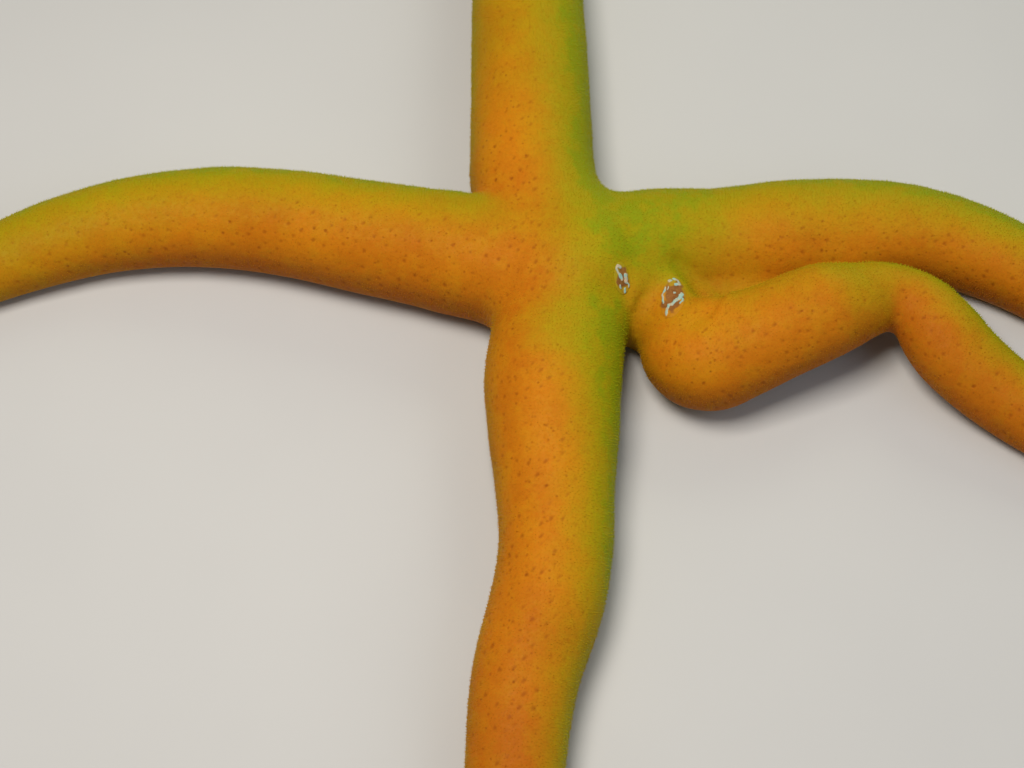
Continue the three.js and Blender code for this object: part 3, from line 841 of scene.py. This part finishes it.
def markings():
    """The animal's colours, with its painted green light and painted shade, for its skin and for what
    grows on it.
    """
    tree, given, out = node_tree(
        "markings",
        "ShaderNodeTree",
        dict.fromkeys(("Flush", "Pit", "Pale", "Deep", "Eye", "Tip"), "Float"),
        {"Colour": "Color", "Roughness": "Float", "Height": "Float"},
    )
    where = put(tree, "ShaderNodeTexCoord").outputs["Object"]
    wide, mid, fine = (cloud(tree, where, across) for across in CLOUDS)
    cells = put(tree, "ShaderNodeTexVoronoi", {"Vector": where, "Scale": 1 / (FINE_PORES * MM)})
    dots = ramp(tree, cells.outputs["Distance"], 0.04, 0.25, 1.0, 0.0)
    bare = maths(tree, "SUBTRACT", 1.0, times(tree, given["Flush"], PORES_LOST), clamp=True)
    patchy = ramp(tree, mid, 0.35, 0.6, 0.35, 1.0)
    dots = times(tree, times(tree, dots, bare), patchy)
    ragged = maths(tree, "ADD", given["Flush"], ramp(tree, mid, 0.3, 0.7, -0.08, 0.08), clamp=True)
    orange = blend(tree, ramp(tree, wide, 0.35, 0.65), paint("b1690d"), paint("bb750f"))
    layers = (
        (ramp(tree, mid, 0.4, 0.7, 0.0, 0.35), "c47e12"),
        # Painted shade, and the redder far ends, deepen the orange.
        (times(tree, given["Deep"], 0.8), "9c500f"),
        # Painted green light turns the orange olive, with a ragged edge.
        (times(tree, ragged, 0.96), "898e09"),
        (ramp(tree, ragged, 0.85, 1.0, 0.0, 0.5), "70880c"),
        (times(tree, given["Pale"], 0.45), "d09440"),
        (ramp(tree, fine, 0.35, 0.75, 0.0, 0.16), "8d4a0c"),
    )
    colour = layered(tree, orange, layers)
    # The gills' tips are paler, and greener where the painted green light is.
    tips = blend(tree, given["Flush"], paint("d99a22"), paint("bfc024"))
    colour = blend(tree, times(tree, given["Tip"], 0.25), colour, tips)
    dots_high = times(tree, dots, 0.5)
    dark = maths(tree, "ADD", ramp(tree, given["Pit"], 0.05, 0.8, 0.0, 0.47), dots_high)
    layers = ((maths(tree, "MINIMUM", dark, 0.62), "7a3606"), (given["Eye"], "8a0e06"))
    tree.links.new(layered(tree, colour, layers), out["Colour"])
    tree.links.new(ramp(tree, fine, 0.3, 0.7, 0.52, 0.68), out["Roughness"])
    height = maths(tree, "ADD", times(tree, fine, 0.5), times(tree, mid, 0.5))
    tree.links.new(maths(tree, "SUBTRACT", height, dots_high), out["Height"])
    return tree


def reading(tree, name):
    """A number kept on the mesh's points."""
    node = put(tree, "ShaderNodeAttribute", attribute_type="GEOMETRY", attribute_name=name)
    return node.outputs["Fac"]


def finish(name, **numbers):
    """A new material; numbers are constants of its shader."""
    material = bpy.data.materials.new(name)
    material.use_nodes = True
    shader = material.node_tree.nodes["Principled BSDF"]
    for label, value in numbers.items():
        shader.inputs[label.replace("_", " ")].default_value = value
    return material, material.node_tree, shader


def raise_by(tree, shader, height, strength, high):
    """Fine relief on a shader, up to so many mm high."""
    inputs = {"Strength": strength, "Distance": high * MM, "Height": height}
    tree.links.new(put(tree, "ShaderNodeBump", inputs).outputs[0], shader.inputs["Normal"])


def living(name, marks, bump, **numbers):
    """A material of living skin; numbers are constants of its shader."""
    material, tree, shader = finish(name, **numbers)
    marked = put(tree, "ShaderNodeGroup", node_tree=marks)
    for socket in marked.inputs:
        tree.links.new(reading(tree, socket.name.lower()), socket)
    tree.links.new(marked.outputs["Colour"], shader.inputs["Base Color"])
    tree.links.new(marked.outputs["Roughness"], shader.inputs["Roughness"])
    raise_by(tree, shader, marked.outputs["Height"], bump, RELIEF_HEIGHT)
    return material


# ---------------------------------------------------------------- growing on a surface
GILLS_APART = 0.37
GILL_WIDTH = 0.115
GILL_HEIGHT = 0.34
GILL_SIDES = 4
DISC_GILLS = 20  # the disc's gills go this far out along the arms
GILL_SUNK = 0.2  # what of its height is in the skin
GILL_WIDTHS = (0.75, 1.2)
GILL_HEIGHTS = (0.55, 1.4)
ORANGE_GILLS = 0.75  # how high they are where the skin is orange, as a share
GILL_BELLY = 1.65  # how much wider it is at half its height than a cone
GILL_LEAN = 0.35  # how far it may lean, in radians
GILL_CROWD = 2.5  # how many are tried for each square of the distance apart
PATCH = 0.003  # how wide a gill's own piece of the skin's map is
ROW_PATCH = 0.3  # how narrow that of a foot or a spine is, as a share


def kept(tree, name, kind="FLOAT"):
    """A value kept on the geometry under a name."""
    node = put(tree, "GeometryNodeInputNamedAttribute", {"Name": name}, data_type=kind)
    return node.outputs["Attribute"]


def keep(tree, geometry, name, value, kind="FLOAT", domain="POINT"):
    """The geometry with a value kept on it under a name."""
    inputs = {"Geometry": geometry, "Name": name, "Value": value}
    settings = {"data_type": kind, "domain": domain}
    return put(tree, "GeometryNodeStoreNamedAttribute", inputs, **settings).outputs["Geometry"]


def vector_maths(tree, kind, *values):
    """A sum on vectors; a SCALE takes a vector and a number."""
    inputs = dict(zip((0, "Scale") if kind == "SCALE" else (0, 1), values))
    return put(tree, "ShaderNodeVectorMath", inputs, operation=kind).outputs[0]


def vector(tree, *parts):
    """A vector of its parts."""
    return put(tree, "ShaderNodeCombineXYZ", dict(enumerate(parts))).outputs[0]


def split(tree, place):
    """A vector's parts by name."""
    return put(tree, "ShaderNodeSeparateXYZ", {0: place}).outputs


def at_random(tree, low, high, seed):
    """A random number, or a random vector, for each point."""
    flat = isinstance(low, (int, float))
    inputs = {2: low, 3: high, 8: seed} if flat else {0: low, 1: high, 8: seed}
    kind = "FLOAT" if flat else "FLOAT_VECTOR"
    return put(tree, "FunctionNodeRandomValue", inputs, data_type=kind).outputs[1 if flat else 0]


def ended(tree, copies, material, out):
    """The end of a tree: makes its copies real, and gives each its own patch of the skin's
    map and a material."""
    real = put(tree, "GeometryNodeRealizeInstances", {0: copies}).outputs[0]
    parts = (kept(tree, name, "FLOAT_VECTOR") for name in ("root", "patch"))
    mapped = vector_maths(tree, "ADD", *parts)
    real = keep(tree, real, "OFBake", mapped, "FLOAT2", "CORNER")
    real = put(tree, "GeometryNodeSetShadeSmooth", {0: real}).outputs[0]
    real = put(tree, "GeometryNodeSetMaterial", {"Geometry": real, "Material": material})
    tree.links.new(real.outputs[0], out[0])
    return tree


def gills():
    """Small soft gills standing on a surface, where its nap says so."""
    sizes = dict.fromkeys(("Apart", "Width", "Height", "Lean"), "Float")
    tree, given, out = node_tree(
        "gills",
        "GeometryNodeTree",
        {"Geometry": "Geometry", **sizes, "Seed": "Int", "Material": "Material"},
        {"Geometry": "Geometry"},
    )
    apart = given["Apart"]
    crowd = maths(tree, "DIVIDE", GILL_CROWD, times(tree, apart, apart))
    spread = put(
        tree,
        "GeometryNodeDistributePointsOnFaces",
        {"Mesh": given["Geometry"], "Distance Min": apart, "Density Max": crowd,
         "Density Factor": kept(tree, "nap"), "Seed": given["Seed"]},
        distribute_method="POISSON",
    )
    root = kept(tree, "OFBake", "FLOAT_VECTOR")
    points = keep(tree, spread.outputs["Points"], "root", root, "FLOAT_VECTOR")
    cone = put(
        tree,
        "GeometryNodeMeshCone",
        {"Vertices": GILL_SIDES, "Side Segments": 2, "Radius Top": 0.0, "Radius Bottom": 0.5,
         "Depth": 1.0},
    ).outputs["Mesh"]
    place = put(tree, "GeometryNodeInputPosition").outputs[0]
    height = split(tree, place)["Z"]
    cone = keep(tree, cone, "tip", height)
    cone = keep(tree, cone, "patch", vector_maths(tree, "SCALE", place, PATCH), "FLOAT_VECTOR")
    off_middle = maths(tree, "ABSOLUTE", maths(tree, "SUBTRACT", height, 0.5))
    fuller = ramp(tree, off_middle, 0.0, 0.5, GILL_BELLY, 1.0)
    rounded = vector_maths(tree, "MULTIPLY", place, vector(tree, fuller, fuller, 1.0))
    rounded = vector_maths(tree, "SUBTRACT", rounded, (0.0, 0.0, GILL_SUNK))
    cone = put(tree, "GeometryNodeSetPosition", {"Geometry": cone, "Position": rounded}).outputs[0]
    lean = vector(tree, given["Lean"], given["Lean"], math.pi)
    turn = vector_maths(tree, "MULTIPLY", at_random(tree, (-1, -1, -1), (1, 1, 1), 3), lean)
    turn = put(tree, "FunctionNodeEulerToRotation", {0: turn}).outputs[0]
    turns = {0: spread.outputs["Rotation"], 1: turn}
    turned = put(tree, "FunctionNodeRotateRotation", turns, rotation_space="LOCAL").outputs[0]
    width = times(tree, given["Width"], at_random(tree, *GILL_WIDTHS, 1))
    olive = times(tree, kept(tree, "flush"), 1 - ORANGE_GILLS)
    longer = maths(tree, "ADD", ORANGE_GILLS, olive)
    longer = times(tree, at_random(tree, *GILL_HEIGHTS, 2), longer)
    size = vector(tree, width, width, times(tree, given["Height"], longer))
    inputs = {"Points": points, "Instance": cone, "Rotation": turned, "Scale": size}
    copies = put(tree, "GeometryNodeInstanceOnPoints", inputs).outputs[0]
    return ended(tree, copies, given["Material"], out)


def grown_on(name, carrier_mesh, tree, **inputs):
    """The plain mesh that a Geometry Nodes tree makes on a carrier."""
    carrier = shown(name + "_carrier", carrier_mesh)
    modifier = carrier.modifiers.new("made", "NODES")
    modifier.node_group = tree
    for item in tree.interface.items_tree:
        if item.in_out == "INPUT" and item.name in inputs:
            modifier[item.identifier] = inputs[item.name]
    graph = bpy.context.evaluated_depsgraph_get()
    mesh = bpy.data.meshes.new_from_object(carrier.evaluated_get(graph))
    bpy.data.objects.remove(carrier)
    mesh.name = name
    return mesh


def rows():
    """A shape repeated at each point of a mesh, with the point's turn and size."""
    tree, given, out = node_tree(
        "rows",
        "GeometryNodeTree",
        {"Geometry": "Geometry", "Shape": "Object", "Material": "Material"},
        {"Geometry": "Geometry"},
    )
    shape = put(tree, "GeometryNodeObjectInfo", {0: given["Shape"]}).outputs["Geometry"]
    place = split(tree, put(tree, "GeometryNodeInputPosition").outputs[0])
    shape = keep(tree, shape, "tip", place["Z"])
    flat = vector(tree, times(tree, place["X"], ROW_PATCH), place["Z"])
    patch = vector_maths(tree, "SCALE", flat, PATCH)
    shape = keep(tree, shape, "patch", patch, "FLOAT_VECTOR")
    turn = put(tree, "FunctionNodeEulerToRotation", {0: kept(tree, "turn", "FLOAT_VECTOR")})
    inputs = {
        "Points": given["Geometry"],
        "Instance": shape,
        "Rotation": turn.outputs[0],
        "Scale": kept(tree, "size", "FLOAT_VECTOR"),
    }
    copies = put(tree, "GeometryNodeInstanceOnPoints", inputs).outputs[0]
    return ended(tree, copies, given["Material"], out)


def bands(rings, sides, first=0):
    """The faces between rings of so many points each, going up."""
    faces = []
    for ring in range(rings - 1):
        low = first + ring * sides
        high = low + sides
        for i in range(sides):
            j = (i + 1) % sides
            faces.append([low + i, low + j, high + j, high + i])
    return faces


def turned_form(profile, sides):
    """The places and faces of a closed turned form, from (radius, height) pairs going up."""
    angle = 2 * np.pi * np.arange(sides) / sides
    places = [(r * math.cos(a), r * math.sin(a), z) for r, z in profile for a in angle]
    foot, top = list(range(sides))[::-1], list(range(len(places) - sides, len(places)))
    return places, [foot, *bands(len(profile), sides), top]


def repeated(name, profile, sides, spots, material, slot):
    """A turned form repeated at spots: (root, direction, radius, length) each, in mm."""
    places, faces = turned_form(profile, sides)
    mesh = mesh_of(name + "_shape", np.array(places) / MM, faces)
    shape = bpy.data.objects.new(name + "_shape", mesh)
    turns = [Vector(way).to_track_quat("Z", "Y").to_euler() for _, way, _, _ in spots]
    sizes = [(radius * MM, radius * MM, length * MM) for _, _, radius, length in spots]
    across = math.ceil(math.sqrt(len(spots)))
    cells = [((i % across + 0.5) / across, (i // across + 0.2) / across, 0) for i in range(len(spots))]
    worn = {"turn": np.array(turns), "size": np.array(sizes), "root": np.array(cells)}
    worn["pale"] = np.ones(len(spots))
    carrier = mesh_of(name + "_spots", [root for root, _, _, _ in spots], [], worn)
    mesh = grown_on(name, carrier, row_tree, Shape=shape, Material=material)
    bpy.data.objects.remove(shape)
    piece(name, mesh, slot)


# ---------------------------------------------------------------- sieve plates
PLATE_RINGS = 64
PLATE_SIDES = 120
RIDGE_HEIGHT = 0.13
RIDGE_EDGE = (1.35, 0.7)  # where a ridge falls off, in halves of its width
SMOOTH_RIDGE = 0.6  # how much of the grain a ridge hides
GRAIN = 0.32  # across
GRAIN_HEIGHT = 0.035
FINE_GRAIN_HEIGHT = 0.08
WANDER = 0.16  # how far the ridges stray, in mm
RAGGED = 0.45  # how much their width varies
STAIN_FROM = 0.95  # how far out the brown reaches, as a share
STAIN_FADES = 0.4
STAIN_RAGGED = 0.5
PLATE_TOP = 0.25  # its top starts this far up its rounded edge
DOME_CURVE = 0.6
PLATE_STANDS = 0.22  # above the skin
PLATE_SUNK = 0.6
PLATE_NEAR = 8  # the skin is read this far round a plate's middle
BED_BLUR = 0.35  # over how much of it each point of a plate reads, in square mm
# The pale ridges on each plate: how wide each is in mm, and its course as (across, along)
# shares of the plate's reach.
RIDGES = {
    "madreporite": [
        (0.42, [(-0.05, 0.68), (-0.4, 0.8), (-0.62, 0.66), (-0.55, 0.42), (-0.3, 0.22)]),
        (0.5, [(-0.3, 0.22), (-0.08, -0.06)]),
        (0.62, [(0.48, 0.16), (0.42, -0.26)]),
        (0.24, [(0.5, -0.28), (0.7, -0.42), (0.66, -0.56)]),
        (0.34, [(-0.45, -0.38), (-0.36, -0.6)]),
        (0.4, [(0.2, -0.68), (0.16, -0.85)]),
    ],
    "madreporite_second": [
        (0.6, [(-0.5, 0.72), (-0.42, 0.74)]),
        (0.3, [(-0.25, 0.86), (0.1, 0.86), (0.32, 0.72)]),
        (0.52, [(0.3, 0.66), (0.08, 0.58)]),
        (0.28, [(-0.74, 0.36), (-0.86, 0.08), (-0.8, -0.12), (-0.74, -0.26)]),
        (0.22, [(-0.48, 0.42), (-0.56, 0.3)]),
        (0.34, [(0.06, 0.2), (0.08, 0.17)]),
        (0.6, [(0.64, 0.2), (0.5, -0.06), (0.24, -0.18)]),
        (0.46, [(0.24, -0.18), (0, -0.38), (-0.26, -0.4), (-0.36, -0.64), (-0.3, -0.84)]),
        (0.3, [(0.78, 0.0), (0.78, -0.18), (0.6, -0.32)]),
    ],
}


def off_line(points, line):
    """How far points are from a line of straight pieces."""
    least = np.full(len(points), np.inf)
    for a, b in zip(line[:-1], line[1:]):
        way = b - a
        share = np.clip((points - a) @ way / (way @ way), 0, 1)
        least = np.minimum(least, np.linalg.norm(points - a - share[:, None] * way, axis=1))
    return least


def skin_under(local, middle, axes):
    """How high the skin is under each point of a plate, and how much painted green light it has."""
    off = (form.places - middle) @ axes.T
    near = (np.abs(off[:, 2]) < PLATE_HIGH) & (np.hypot(off[:, 0], off[:, 1]) < PLATE_NEAR)
    off = off[near]
    weights = np.exp(-((local[:, None, :2] - off[None, :, :2]) ** 2).sum(2) / BED_BLUR)
    weights /= weights.sum(1)[:, None]
    return weights @ off[:, 2], weights @ form.flush[near]


def sieve_plate(name, seed):
    """A low limy plate, brown, with pale ridges that wind over it."""
    middle, axes, reach = plate_frame(name, form.places, form.facing)
    around = 2 * np.pi * np.arange(PLATE_SIDES) / PLATE_SIDES
    down = np.pi * np.arange(1, PLATE_RINGS) / PLATE_RINGS
    ring = np.stack([np.cos(around), np.sin(around)], 1)
    unit = [(x * math.sin(a), y * math.sin(a), math.cos(a)) for a in down[::-1] for x, y in ring]
    unit = np.array([(0, 0, -1), *unit, (0, 0, 1)])
    local = unit * reach

    def rough(across, layer):
        """Soft noise over the plate; each layer is another one."""
        level = seed + layer
        flat = local[:, :2] / across
        return np.array([noise.noise(Vector((x, y, level))) for x, y in flat])

    over = ease(unit[:, 2] / PLATE_TOP)
    wander = WANDER * np.stack([rough(0.7, 0), rough(0.7, 10)], 1)
    ridge = np.zeros(len(local))
    for width, course in RIDGES[name]:
        line = np.array([(long, -across) for across, long in course]) * reach[:2]
        off = off_line(local[:, :2] + wander, line) / (width / 2 * (1 + RAGGED * rough(0.4, 20)))
        ridge = np.maximum(ridge, falling(off, RIDGE_EDGE))
    ridge *= over
    grain = rough(GRAIN, 40)
    share = np.linalg.norm(unit[:, :2], axis=1)
    stain = ease((STAIN_FROM - share + STAIN_RAGGED * rough(1.0, 60)) / STAIN_FADES)
    bed, flush = skin_under(local, middle, axes)
    dome = np.where(unit[:, 2] > 0, PLATE_STANDS, PLATE_SUNK) * np.sign(unit[:, 2])
    dome = dome * np.abs(unit[:, 2]) ** DOME_CURVE
    grainy = GRAIN_HEIGHT * grain * over * (1 - SMOOTH_RIDGE * ridge)
    local[:, 2] = bed + dome + RIDGE_HEIGHT * ridge + grainy
    top = len(local) - 1
    faces = [[0, 1 + (i + 1) % PLATE_SIDES, 1 + i] for i in range(PLATE_SIDES)]
    faces += bands(PLATE_RINGS - 1, PLATE_SIDES, 1)
    last = 1 + (PLATE_RINGS - 2) * PLATE_SIDES
    faces += [[last + i, last + (i + 1) % PLATE_SIDES, top] for i in range(PLATE_SIDES)]
    places = middle + local @ axes
    worn = {"ridge": ridge, "grain": grain, "stain": stain, "flush": flush}
    mesh = mesh_of(name + "_plate", places, faces, worn)
    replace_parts(piece(name + "_plate", mesh, "sieve_plate", plate_paint), name)


def limy(name, marks):
    """Pale ridges over a brown stain on the skin's colours and painted green light, for the sieve
    plates.
    """
    material, tree, shader = finish(name, Roughness=0.65, Specular_IOR_Level=0.2)
    where = put(tree, "ShaderNodeTexCoord").outputs["Object"]
    mottle, fine = cloud(tree, where, 1.2), cloud(tree, where, 0.25)
    flesh = put(tree, "ShaderNodeGroup", {"Flush": reading(tree, "flush")}, node_tree=marks)
    brown = blend(tree, ramp(tree, mottle, 0.35, 0.65), paint("6c3f1c"), paint("7d5026"))
    grain = ramp(tree, reading(tree, "grain"), 0.0, 0.4, 0.0, 0.25)
    stain = ramp(tree, reading(tree, "stain"), 0.0, 1.0, 0.0, 0.9)
    brown = layered(tree, brown, [(grain, "94703a")])
    brown = blend(tree, stain, flesh.outputs["Colour"], brown)
    pale = blend(tree, ramp(tree, mottle, 0.42, 0.58), paint("8fb8b2"), paint("b7ab90"))
    pale = layered(tree, pale, [(ramp(tree, fine, 0.4, 0.7, 0.0, 0.35), "6f8f86")])
    colour = blend(tree, ramp(tree, reading(tree, "ridge"), 0.15, 0.85, 0.0, 0.95), brown, pale)
    tree.links.new(colour, shader.inputs["Base Color"])
    raise_by(tree, shader, fine, 0.5, FINE_GRAIN_HEIGHT)
    return material


# ---------------------------------------------------------------- the underside
FOOT = ((0.9, 0), (1.05, 0.12), (0.85, 0.45), (0.78, 0.78), (1.2, 0.88), (1.25, 0.95), (0.8, 1.0))
SPINE = ((0.8, 0), (1.0, 0.3), (0.9, 0.75), (0.35, 1.0))
LIPS = (
    (0.2, 4.6), (3.0, 4.4), (3.0, 3.5), (2.5, 3.15), (1.5, 2.95), (0.85, 3.1), (0.55, 3.5), (0.3, 4.1),
)
# The rows along the furrows. A way is how far a piece points outward, along the arm and
# up. The other sizes are shares of the arm's radius, but for the first's place and what is
# past the wall.
FEET = {
    "every": 0.2, "first": 5.5, "aside": 0.095, "past_wall": 0, "height": 0.31,
    "way": (0.12, 0, -1), "radius": 0.042, "length": 0.3,
}
FURROW_SPINES = {
    "every": 0.11, "first": 5.0, "aside": 0.25, "past_wall": 0.2, "height": 0.05,
    "way": (-0.8, 0, -0.35), "radius": 0.017, "length": 0.11,
}
ROWS_SHORT = 0.85  # where rows end before the tip, in shares of the nose's length
JITTER = 0.16  # of a piece's way
ROOTED = 0.1  # how deep the rows' and the mouth's pieces stand in the skin
MOUTH_SPINE = {
    "turns": (-0.36, -0.12, 0.12, 0.36), "height": 0.75, "up": (-0.2, 0.25),
    "radius": 0.3, "length": (1.4, 1.8),
}
# How far back and how long are shares of the nose's length, and the height is one of the
# arm's radius.
FEELER = {
    "turns": (-0.7, -0.35, 0, 0.35, 0.7), "height": 0.42, "up": (-0.45, -0.3), "back": 0.75,
    "radius": 0.13, "length": 0.8,
}


def furrow_spots(row, rng):
    """Spots along both sides of every arm's furrow."""
    spots = []
    for arm in ARM.values():
        s = row["first"]
        while s < arm.length - ROWS_SHORT * arm.nose:
            x, y, heading, r, lift = arm.at(s)
            cos, sin = math.cos(heading), math.sin(heading)
            for side in (-1, 1):
                out, ahead, up = row["way"] + rng.uniform(-JITTER, JITTER, 3)
                away = side * (row["aside"] * r + row["past_wall"])
                root = (x + away * sin, y - away * cos, lift + row["height"] * r + ROOTED)
                way = (side * out * sin + ahead * cos, ahead * sin - side * out * cos, up)
                length = row["length"] * r * rng.uniform(0.86, 1.0)
                spots.append((root, way, row["radius"] * r, length))
            s += row["every"] * r
    return spots


def mouth_spines(rng):
    """Spines around the mouth that point in over it, in five groups."""
    spots = []
    for arm in ARM.values():
        for turn in MOUTH_SPINE["turns"]:
            a = arm.heading[0] + math.pi / 5 + turn
            root = np.array([math.cos(a), math.sin(a)]) * (MOUTH["radius"] + ROOTED) + DISC_CENTRE
            way = (-math.cos(a), -math.sin(a), rng.uniform(*MOUTH_SPINE["up"]))
            root = (*root, MOUTH_SPINE["height"])
            spots.append((root, way, MOUTH_SPINE["radius"], rng.uniform(*MOUTH_SPINE["length"])))
    return spots


def tip_feelers(rng):
    """The thin feelers at each arm's end, in front of its furrow."""
    spots = []
    for arm in ARM.values():
        x, y, heading, r, lift = arm.at(arm.length)
        back = FEELER["back"] * arm.nose
        up = lift + FEELER["height"] * r
        root = (x - back * math.cos(heading), y - back * math.sin(heading), up)
        for turn in FEELER["turns"]:
            a = heading + turn
            way = (math.cos(a), math.sin(a), rng.uniform(*FEELER["up"]))
            length = FEELER["length"] * arm.nose * rng.uniform(0.85, 1.0)
            spots.append((root, way, FEELER["radius"], length))
    return spots


# ---------------------------------------------------------------- the pieces
marks = markings()
skin_paint = living(
    "living_skin", marks, 0.5,
    Subsurface_Weight=0.12, Subsurface_Radius=(1.0, 0.35, 0.1), Subsurface_Scale=1.2 * MM,
    Sheen_Weight=0.04, Sheen_Roughness=0.45, Sheen_Tint=paint("d0c81e"), Specular_IOR_Level=0.06,
)
gill_paint = living(
    "soft_gills", marks, 0.1,
    Subsurface_Weight=0.3, Subsurface_Radius=(1.0, 0.5, 0.1), Subsurface_Scale=0.6 * MM,
    Sheen_Weight=0.06, Sheen_Roughness=0.5, Sheen_Tint=paint("d0c81e"), Specular_IOR_Level=0.04,
)

form = Skin()
skin_mesh = mesh_of("skin", form.places, form.quads, form.worn(), form.uv)
flesh = [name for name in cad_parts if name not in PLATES]
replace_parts(piece("skin", skin_mesh, "skin", skin_paint), *flesh)

gill_tree = gills()
quad_arm = form.along.arm[form.quads[:, 0]]
quad_near = form.along.s[form.quads[:, 0]] < DISC_GILLS
for number, name in enumerate([*ARM, "disc"]):
    own = quad_near if name == "disc" else (quad_arm == number) & ~quad_near
    carrier = mesh_of("carrier", form.places, form.quads[own], form.worn(), form.uv[own])
    mesh = grown_on(
        "gills_" + name, carrier, gill_tree,
        Apart=GILLS_APART * MM, Width=GILL_WIDTH * MM, Height=GILL_HEIGHT * MM, Lean=GILL_LEAN,
        Seed=SEED + number, Material=gill_paint,
    )
    piece("gills_" + name, mesh, "skin")

plate_paint = limy("limy_plate", marks)
for seed, name in enumerate(PLATES):
    sieve_plate(name, 3.0 + seed)

row_tree = rows()
random = np.random.default_rng(SEED)
foot_paint = living(
    "tube_feet", marks, 0.1,
    Subsurface_Weight=0.4, Subsurface_Radius=(1.0, 0.5, 0.2), Subsurface_Scale=0.6 * MM,
    Specular_IOR_Level=0.4,
)
repeated("tube_feet", FOOT, 8, furrow_spots(FEET, random), foot_paint, "skin")
spines = furrow_spots(FURROW_SPINES, random)
repeated("furrow_spines", SPINE, 6, spines, gill_paint, "skin")
repeated("mouth_spines", SPINE, 10, mouth_spines(random), gill_paint, "skin")
repeated("tip_feelers", SPINE, 8, tip_feelers(random), foot_paint, "tip_skin")
lips_places, lips_faces = turned_form(LIPS, 48)
lips_places = np.array(lips_places) + (*DISC_CENTRE, 0)
piece("lips", mesh_of("lips", lips_places, lips_faces), "skin", foot_paint)


# ---------------------------------------------------------------- floor, light, camera
FLOOR_HALF = 3  # metres


def area_light(name, place, target, size, power, colour):
    """A soft light at a place that faces a target, all in mm."""
    lamp = bpy.data.lights.new(name, "AREA")
    lamp.size, lamp.energy, lamp.color = size * MM, power, colour[:3]
    made = bpy.data.objects.new(name, lamp)
    made.location = Vector(place) * MM
    made.rotation_euler = (Vector(target) - Vector(place)).to_track_quat("-Z", "Y").to_euler()
    scene.collection.objects.link(made)


def floor():
    """A plain pale floor."""
    mesh = bpy.data.meshes.new("floor")
    corners = [(x * FLOOR_HALF, y * FLOOR_HALF, 0) for x, y in ((-1, -1), (1, -1), (1, 1), (-1, 1))]
    mesh.from_pydata(corners, [], [(0, 1, 2, 3)])
    material, tree, shader = finish("pale_floor", Roughness=0.8)
    where = put(tree, "ShaderNodeTexCoord").outputs["Object"]
    tone = blend(tree, cloud(tree, where, 60), paint("b4b8bb"), paint("bcc0c2"))
    tree.links.new(tone, shader.inputs["Base Color"])
    shown("floor", mesh, material)


CAMERA_TARGET = (-4.9, -17.57, 8)
CAMERA_DISTANCE = 330
CAMERA_ELEVATION = 60
CAMERA_LENS = 77.34

floor()
area_light("key", (-70, -40, 340), (0, -20, 0), 150, 1.25, paint("fff2e4"))
area_light("fill", (330, -160, 300), (0, 0, 0), 300, 0.35, paint("eef3ff"))
area_light("back", (200, 330, 260), (0, 0, 0), 220, 0.5, paint("f8f6dc"))
world = bpy.data.worlds.new("room")
world.use_nodes = True
world.node_tree.nodes["Background"].inputs[0].default_value = paint("ececea")
world.node_tree.nodes["Background"].inputs[1].default_value = 0.2
scene.world = world
scene.view_settings.view_transform = "Standard"

camera = bpy.data.objects.new("camera", bpy.data.cameras.new("camera"))
camera.data.lens, camera.data.sensor_width = CAMERA_LENS, 36
tilt = math.radians(CAMERA_ELEVATION)
back = Vector((0, -math.cos(tilt), math.sin(tilt)))
camera.location = (Vector(CAMERA_TARGET) + CAMERA_DISTANCE * back) * MM
camera.rotation_euler = (-back).to_track_quat("-Z", "Y").to_euler()
camera.data.clip_start = 0.01
scene.collection.objects.link(camera)
bpy.context.scene.camera = camera
